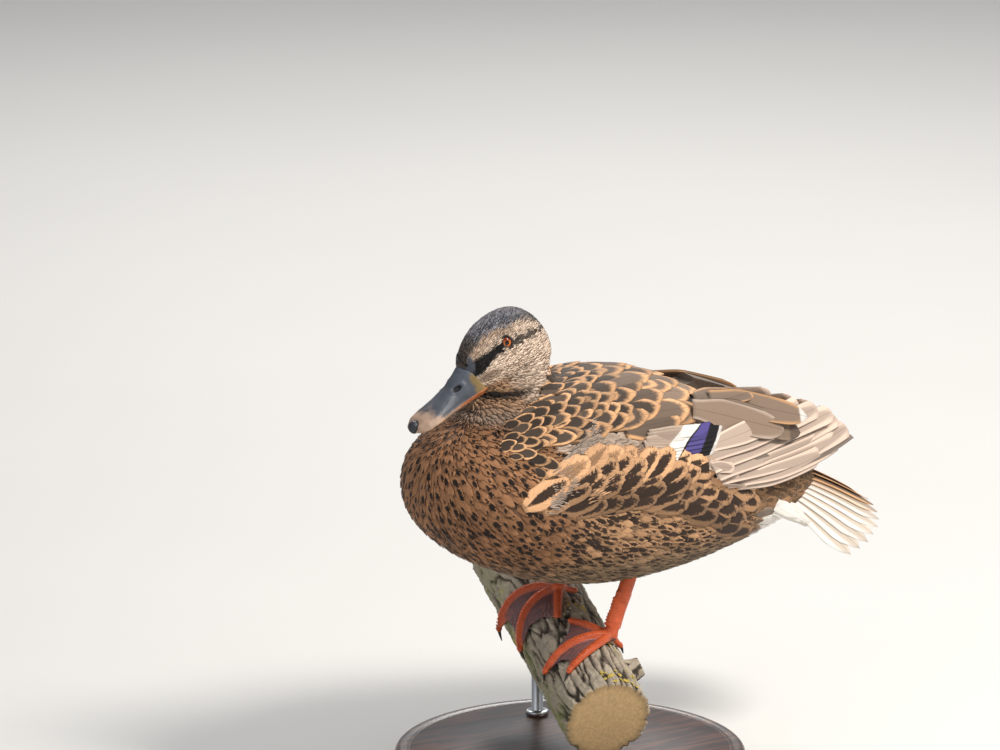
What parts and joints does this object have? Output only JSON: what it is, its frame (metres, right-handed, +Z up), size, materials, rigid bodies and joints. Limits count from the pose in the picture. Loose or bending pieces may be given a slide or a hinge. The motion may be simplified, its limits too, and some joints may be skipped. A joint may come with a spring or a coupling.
{
  "type": "mallard duck",
  "caption": "Life-size still hen mallard standing on a short cut branch, held by steel rods on a round wooden base.",
  "frame": {"origin": "centre of the round base's underside", "axes": "+Z up, -X the way the bird faces, -Y the bird's left side; the bird's length runs along X"},
  "size_m": [0.3697, 0.249, 0.3167],
  "materials": {
    "plumage": "soft overlapping feathers, buff with dark brown spots",
    "scapular": "chocolate feathers with orange-buff edges",
    "flight": "smooth taupe flight feathers with pale edges",
    "tail": "whitish outer and brown inner tail feathers",
    "bill": "satin slate horn, pinkish towards the tip",
    "nail": "polished dark horn",
    "eye": "wet gloss, orange-brown iris and black pupil",
    "leg": "scaly orange-red skin with dark grey webs",
    "claw": "black horn",
    "bark": "rough furrowed grey-brown bark, pale sawn ends",
    "base_wood": "satin varnished walnut",
    "rod_steel": "brushed"
  },
  "bodies": {
    "root": {"neck": "plumage", "trunk": "plumage", "head": "plumage", "thigh_left": "plumage", "thigh_right": "plumage", "wing_left": "plumage", "wing_right": "plumage", "scapulars_left": "scapular", "scapulars_right": "scapular", "tertials_left": "flight", "tertials_right": "flight", "primaries_left": "flight", "primaries_right": "flight", "tail": "tail", "bill_upper": "bill", "bill_lower": "bill", "bill_nail": "nail", "eye_left": "eye", "eye_right": "eye", "shank_left": "leg", "shank_right": "leg", "foot_left": "leg", "foot_right": "leg", "perch_branch": "bark", "stand_base": "base_wood", "stand_rod_front": "rod_steel", "stand_rod_back": "rod_steel", "claw_left_inner": "claw", "claw_left_middle": "claw", "claw_left_outer": "claw", "claw_left_hind": "claw", "claw_right_inner": "claw", "claw_right_middle": "claw", "claw_right_outer": "claw", "claw_right_hind": "claw"}
  },
  "joints": []
}
